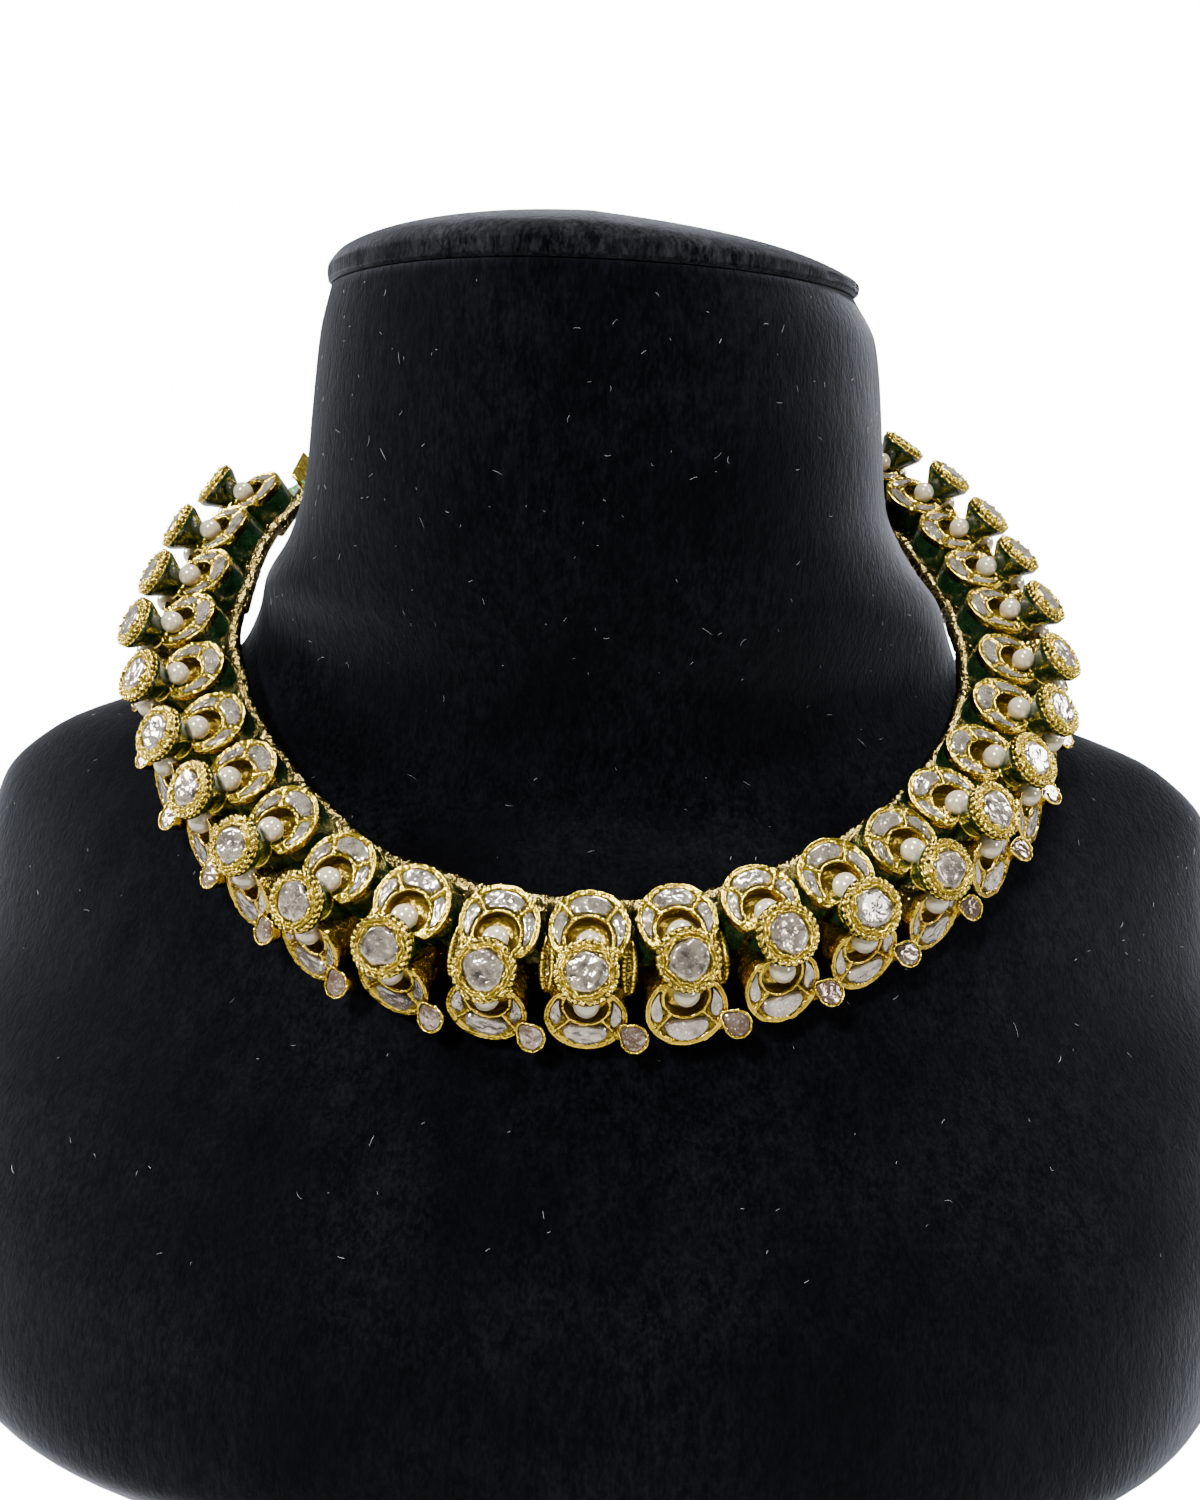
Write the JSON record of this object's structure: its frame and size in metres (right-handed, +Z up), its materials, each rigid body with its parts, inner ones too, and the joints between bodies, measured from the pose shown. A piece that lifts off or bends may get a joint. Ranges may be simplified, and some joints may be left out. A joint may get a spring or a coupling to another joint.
{
  "type": "kundan necklace on a neck bust",
  "caption": "Collar of linked gold settings with foiled stones, pearls and raised collets, lying round a plain black velvet neck bust with a padded cap.",
  "frame": {"origin": "centre of the bust's flat base", "axes": "+Z up along the neck, -Y towards the chest and the front of the necklace, +X to the viewer's right"},
  "size_m": [0.255, 0.1725, 0.2058],
  "materials": {
    "gold": "polished and granulated, with dark green enamel on the outer walls",
    "stone": "foil-backed, unpolished flat cut",
    "pearl": "lustrous",
    "velvet": "napped velvet"
  },
  "bodies": {
    "root": {"bust": "velvet", "bust_lid": "velvet", "link_01": "gold", "link_02": "gold", "link_03": "gold", "link_04": "gold", "link_05": "gold", "link_06": "gold", "link_07": "gold", "link_08": "gold", "link_09": "gold", "link_10": "gold", "link_11": "gold", "link_12": "gold", "link_13": "gold", "link_14": "gold", "link_15": "gold", "link_16": "gold", "link_17": "gold", "link_18": "gold", "link_19": "gold", "link_20": "gold", "link_21": "gold", "link_22": "gold", "link_23": "gold", "link_24": "gold", "link_25": "gold", "crown_stones": "stone", "upper_stones": "stone", "lower_stones": "stone", "upper_pearls": "pearl", "lower_pearls": "pearl", "end_left": "gold", "end_right": "gold", "chain_left": "gold", "chain_right": "gold", "clasp": "gold"}
  },
  "joints": []
}
